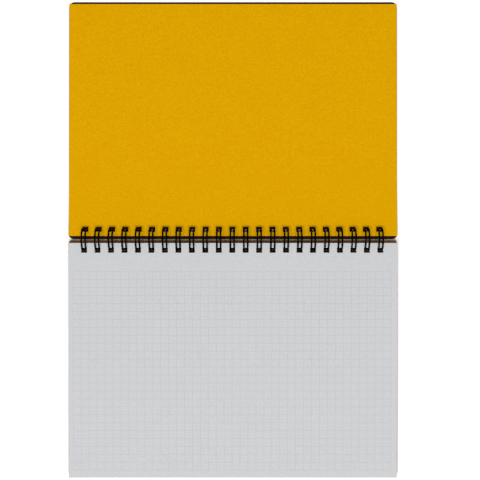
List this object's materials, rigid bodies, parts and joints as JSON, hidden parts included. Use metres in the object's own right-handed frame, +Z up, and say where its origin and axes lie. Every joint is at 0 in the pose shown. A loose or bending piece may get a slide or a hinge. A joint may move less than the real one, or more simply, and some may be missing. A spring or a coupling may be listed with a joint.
{
  "type": "grid notebook",
  "caption": "Top-bound grid notebook lying open flat: punched page block and stiff back board on a twin-loop wire, with the front cover and its inner card turned over.",
  "frame": {"origin": "on the table, under the middle of the open notebook", "axes": "+X along the binding, to the reader's right; +Y from the pages towards the turned-over front cover; +Z up"},
  "size_m": [0.209, 0.302, 0.0145],
  "materials": {
    "page_paper": "matte",
    "back_board": "matte",
    "cover_plastic": "satin",
    "inner_card": "matte",
    "wire": "satin"
  },
  "bodies": {
    "base": {"back_cover": "back_board", "binding_wire": "wire"},
    "pages": {"page_block": "page_paper"},
    "front": {"front_cover": "cover_plastic", "inner_card": "inner_card"}
  },
  "joints": [
    {"name": "front_cover_hinge", "type": "hinge", "parent": "base", "child": "front", "pos_m": [0, 0.00006, 0.00725], "axis": [1, 0, 0], "range_deg": [0, 182]},
    {"name": "page_block_hinge", "type": "hinge", "parent": "base", "child": "pages", "pos_m": [0, 0.00006, 0.00725], "axis": [-1, 0, 0], "range_deg": [0, 182]}
  ]
}
